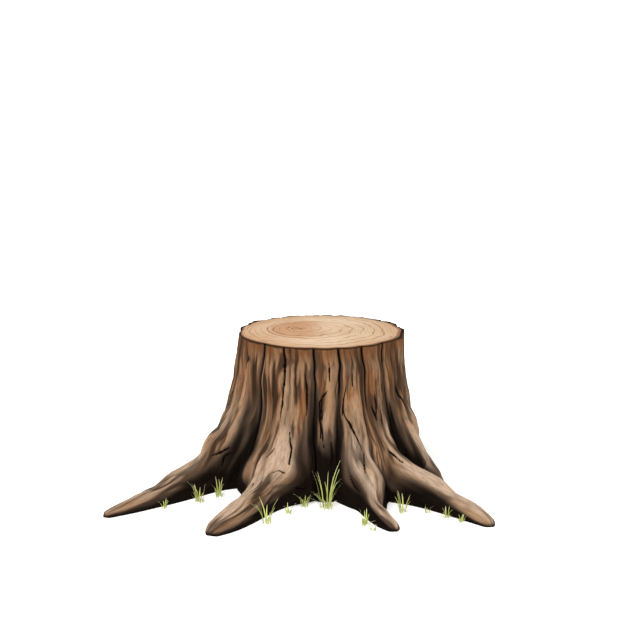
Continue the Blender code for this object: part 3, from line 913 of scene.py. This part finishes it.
def bark_finish():
    """Brown bark: tan painted highlights on ridges and crests, reddish in patches and by the rim, near black
    painted shade in the crevices.
    """
    f = Finish("bark", roughness=0.95, specular=0.02)
    flow, place = f.stored("flow", vector=True), f.place()
    height = f.add("ShaderNodeSeparateXYZ", {0: place}).outputs["Z"]
    relief, crevice = f.stored("relief"), f.stored("crevice")
    painted_shade, crest = f.stored("painted_shade"), f.stored("crest")
    streak = f.noise(f.stretch(flow, (78.0, 5.5, 1.0)), detail=2.5)
    fine = f.noise(f.stretch(flow, (420.0, 40.0, 1.0)), detail=3.0)
    patch = f.noise(f.stretch(flow, (34.0, 5.5, 1.0)), detail=2.0)
    daub = f.noise(f.stretch(flow, (52.0, 5.5, 1.0)), detail=1.0)
    colour = f.blend(f.step(streak, 0.36, 0.64), (0.090, 0.047, 0.024), (0.270, 0.155, 0.086))
    colour = f.blend(f.step(patch, 0.50, 0.64, 0.0, 0.75), colour, (0.240, 0.102, 0.040))
    colour = f.blend(f.step(patch, 0.46, 0.34, 0.0, 0.55), colour, (0.150, 0.115, 0.088))
    colour = f.blend(f.step(daub, 0.50, 0.38, 0.0, 0.94), colour, (0.026, 0.015, 0.009))
    # Painted highlight: tan where the relief stands out
    ridge = f.maths("ADD", relief, f.maths("MULTIPLY", f.maths("SUBTRACT", streak, 0.5), 1.4))
    colour = f.blend(f.step(ridge, 0.05, 0.45, 0.0, 0.62), colour, (0.380, 0.240, 0.145))
    # Painted highlight: pale tan along the crests of the roots, broken up by the daubs
    wear_and_highlight = f.maths("MULTIPLY", crest, f.step(daub, 0.38, 0.54, 0.20, 0.95))
    colour = f.blend(wear_and_highlight, colour, (0.440, 0.320, 0.230))
    colour = f.blend(f.step(height, 0.10, 0.26), colour, (0.76, 0.70, 0.64), how="MULTIPLY")
    under_rim = f.step(height, HEIGHT - 0.050, HEIGHT - 0.006)
    under_rim = f.maths("MULTIPLY", under_rim, f.step(daub, 0.36, 0.54, 0.30, 0.90))
    colour = f.blend(under_rim, colour, (0.120, 0.046, 0.016))
    colour = f.blend(f.step(fine, 0.36, 0.56, 0.35, 0.0), colour, (0.050, 0.028, 0.016))
    # Painted shade in the hollows of the relief
    colour = f.blend(f.step(relief, -0.02, -0.45, 0.0, 0.75), colour, (0.034, 0.020, 0.012))
    # Painted shade on the flanks by the fissures and low between roots, near black where it is strongest
    colour = f.blend(f.step(painted_shade, 0.05, 0.60, 0.0, 0.80), colour, (0.060, 0.040, 0.028))
    colour = f.blend(f.step(painted_shade, 0.35, 0.85, 0.0, 0.97), colour, (0.0035, 0.0024, 0.0018))
    # Painted contact shade, near black, along the ground
    colour = f.blend(f.step(height, 0.012, 0.002, 0.0, 0.90), colour, (0.0060, 0.0042, 0.0030))
    colour = f.blend(f.step(height, HEIGHT - 0.004, HEIGHT - 0.001, 0.0, 0.85), colour, (0.020, 0.010, 0.005))
    # Painted shade, near black, in the fissures and cracks
    colour = f.blend(f.step(crevice, 0.15, 0.65, 0.0, 0.99), colour, (0.003, 0.002, 0.0015))
    return f.finish(colour, bump=fine, distance=0.0012, strength=0.7)


def sawn_finish(name, pale, deep, line):
    """Sawn end grain: broken ring lines, more orange to the left and inwards, a dark edge, dark checks with
    painted shade, and painted shade on the sides under the top.
    """
    f = Finish(name, roughness=0.7, specular=0.1)
    place, ring, check = f.place(), f.stored("ring"), f.stored("check")
    parts = f.add("ShaderNodeSeparateXYZ", {0: place}).outputs
    cloud = f.noise(f.stretch(place, (7.0, 7.0, 7.0)), detail=3.0)
    waver = f.noise(f.stretch(place, (14.0, 14.0, 14.0)), detail=2.0)
    broken = f.noise(f.stretch(place, (17.0, 17.0, 17.0)), detail=1.0)
    left = f.step(parts["X"], 0.02, -0.14)
    warm = f.maths("MULTIPLY", f.step(ring, 0.56, 0.40), f.step(parts["X"], 0.03, -0.05, 0.15, 1.0))
    colour = f.blend(f.step(cloud, 0.40, 0.66), pale, deep)
    colour = f.blend(f.maths("MULTIPLY", left, 0.45), colour, (0.470, 0.255, 0.120))
    colour = f.blend(f.maths("MULTIPLY", warm, 0.70), colour, (0.450, 0.220, 0.095))
    colour = f.blend(f.step(ring, 0.70, 1.0, 0.0, 0.55), colour, (0.480, 0.275, 0.140))
    waved = f.maths("ADD", ring, f.maths("MULTIPLY", f.maths("SUBTRACT", waver, 0.5), 0.16))
    fine = f.maths("FRACT", f.maths("MULTIPLY", waved, 30.0))
    fine = f.maths("ABSOLUTE", f.maths("SUBTRACT", fine, 0.5))
    colour = f.blend(f.step(fine, 0.30, 0.0, 0.0, 0.20), colour, line)
    for number, (share, half_width, at_right, at_left) in enumerate(RINGS):
        away = f.maths("ABSOLUTE", f.maths("SUBTRACT", waved, share))
        strength = f.step(parts["X"], 0.06, -0.06, at_right, at_left)
        gap = f.maths("FRACT", f.maths("ADD", broken, 0.37 * number))
        strength = f.maths("MULTIPLY", strength, f.step(gap, 0.10, 0.35, 0.25, 1.0))
        colour = f.blend(f.maths("MULTIPLY", f.step(away, half_width, 0.0), strength), colour, line)
    colour = f.blend(f.step(ring, 0.955, 0.985, 0.0, 0.9), colour, (0.200, 0.075, 0.026))
    # Painted shade, dark brown, in the checks
    colour = f.blend(f.step(check, 0.08, 0.45, 0.0, 0.97), colour, (0.060, 0.024, 0.010))
    # Painted shade: the wood's sides below the top are near black, as they show only down the gaps in the
    # bark
    colour = f.blend(f.step(parts["Z"], HEIGHT - 0.003, HEIGHT - 0.006), colour, (0.010, 0.006, 0.004))
    saw = f.noise(f.stretch(place, (60.0, 900.0, 60.0)), detail=2.0)
    return f.finish(colour, bump=saw, distance=0.0003, strength=0.35)


def root_wood_finish():
    """Pale wood, with painted shade, near black, low down near the ground."""
    f = Finish("root_wood", roughness=0.75)
    place = f.place()
    grain = f.noise(f.stretch(place, (60.0, 60.0, 60.0)), detail=5.0)
    height = f.add("ShaderNodeSeparateXYZ", {0: place}).outputs["Z"]
    colour = f.blend(f.step(grain, 0.35, 0.65), (0.420, 0.260, 0.140), (0.600, 0.400, 0.230))
    # Painted shade, near black, low down near the ground
    colour = f.blend(f.step(height, 0.060, 0.030), colour, (0.012, 0.007, 0.005))
    return f.finish(colour, bump=grain, distance=0.0006)


def grass_finish():
    """Yellow-green blades, paler at the foot and at the tip."""
    f = Finish("grass", roughness=0.55)
    tip, tint = f.stored("tip"), f.stored("tint")
    colour = f.blend(tint, (0.230, 0.270, 0.045), (0.560, 0.580, 0.160))
    colour = f.blend(f.step(tip, 0.55, 1.0, 0.0, 0.8), colour, (0.800, 0.800, 0.380))
    colour = f.blend(f.step(tip, 0.35, 0.0, 0.0, 0.7), colour, (0.560, 0.560, 0.330))
    vein = f.noise(f.stretch(f.place(), (900.0, 900.0, 40.0)), detail=1.0)
    return f.finish(colour, bump=vein, distance=0.0002, strength=0.4)


# --- Studio ---

CAMERA_PLACE = (-0.0025, -2.4, 0.87)
CAMERA_PITCH = 11.15
CAMERA_LENS = 54.5

# The floor is flat to its radius, bends up in an arc, and ends in a low wall
FLOOR_RADIUS = 4.0
BEND_RADIUS = 1.5
WALL_HEIGHT = 2.6
FLOOR_SIDES = 64
BEND_STEPS = 12

# The floor glows a little, and more so away from the stump: over these distances, from and to these strengths
GLOW_FROM_TO = (0.35, 1.6)
NEAR_GLOW, FAR_GLOW = 0.30, 1.0

# Lamps: place, size, power and colour. Both point at the same spot.
LAMPS = {
    "key": ((-1.0, -1.5, 3.3), 2.6, 112.0, (1.0, 0.985, 0.96)),
    "fill": ((2.4, -2.0, 2.0), 2.4, 20.0, (0.96, 0.98, 1.0)),
}
LAMP_TARGET = (0.0, 0.0, 0.15)
WORLD_STRENGTH = 0.26


def make_floor():
    """A pale round floor that curves up all round into a backdrop."""
    profile = []
    for step in range(BEND_STEPS + 1):
        turn = 0.5 * math.pi * step / BEND_STEPS
        profile.append((FLOOR_RADIUS + BEND_RADIUS * math.sin(turn), BEND_RADIUS * (1.0 - math.cos(turn))))
    profile.append((FLOOR_RADIUS + BEND_RADIUS, WALL_HEIGHT))
    points = [(0.0, 0.0, 0.0)]
    for radius, z in profile:
        for side in range(FLOOR_SIDES):
            turn = math.tau * side / FLOOR_SIDES
            points.append((radius * math.cos(turn), radius * math.sin(turn), z))
    ids = 1 + np.arange(len(points) - 1).reshape(-1, FLOOR_SIDES)
    ids = np.concatenate((ids, ids[:, :1]), axis=1)
    faces = quads(ids) + [(0, int(a), int(b)) for a, b in zip(ids[0], ids[0, 1:])]
    f = Finish("studio_floor", roughness=0.9)
    distance = f.add("ShaderNodeVectorMath", {0: f.place()}, operation="LENGTH").outputs["Value"]
    glow = f.step(distance, *GLOW_FROM_TO, NEAR_GLOW, FAR_GLOW)
    f.put(f.shader.inputs["Emission Strength"], glow)
    f.put(f.shader.inputs["Emission Color"], (1.0, 1.0, 1.0))
    data = bpy.data.meshes.new("floor")
    data.from_pydata(points, [], faces)
    data.shade_smooth()
    data.materials.append(f.finish((0.90, 0.90, 0.89)))
    floor = bpy.data.objects.new("floor", data)
    bpy.context.scene.collection.objects.link(floor)


def make_lamp(name, place, size, power, colour):
    """A round soft lamp. It shines down its own -Z, so it is turned to its target."""
    data = bpy.data.lights.new(name, "AREA")
    data.shape = "DISK"
    data.size = size
    data.energy = power
    data.color = colour
    lamp = bpy.data.objects.new(name, data)
    lamp.location = place
    aim = np.array(LAMP_TARGET) - np.array(place)
    x, y, z = aim / np.linalg.norm(aim)
    lamp.rotation_euler = (math.acos(-z), 0.0, math.atan2(x, -y) + math.pi)
    bpy.context.scene.collection.objects.link(lamp)


def make_studio():
    """The floor, lamps, world and camera."""
    make_floor()
    for name, settings in LAMPS.items():
        make_lamp(name, *settings)
    world = bpy.data.worlds.new("studio")
    world.use_nodes = True
    background = world.node_tree.nodes["Background"].inputs
    background["Color"].default_value = (1.0, 1.0, 1.0, 1.0)
    background["Strength"].default_value = WORLD_STRENGTH
    bpy.context.scene.world = world
    bpy.context.scene.view_settings.view_transform = "Standard"
    data = bpy.data.cameras.new("camera")
    data.lens = CAMERA_LENS
    camera = bpy.data.objects.new("camera", data)
    camera.location = CAMERA_PLACE
    camera.rotation_euler = (math.radians(90.0 - CAMERA_PITCH), 0.0, 0.0)
    bpy.context.scene.collection.objects.link(camera)
    bpy.context.scene.camera = camera


# Pale, deep and line colour of the sawn wood
SAWN_COLOURS = {
    "sapwood": ((0.650, 0.490, 0.340), (0.570, 0.395, 0.250), (0.250, 0.105, 0.040)),
    "heartwood": ((0.650, 0.485, 0.335), (0.560, 0.375, 0.230), (0.220, 0.086, 0.030)),
    "pith": ((0.460, 0.260, 0.130), (0.330, 0.160, 0.070), (0.120, 0.050, 0.022)),
}


def main():
    """Every piece with its material, and then the studio."""
    make_bark(bark_finish())
    make_cut_face({node: sawn_finish(node, *colours) for node, colours in SAWN_COLOURS.items()})
    root_wood, grass = root_wood_finish(), grass_finish()
    for name in sorted(NODES):
        if name.startswith("wood_"):
            NODES[name].data.materials.clear()
            NODES[name].data.materials.append(root_wood)
        if name.startswith("grass_"):
            make_tuft(name, grass)
    make_studio()


main()
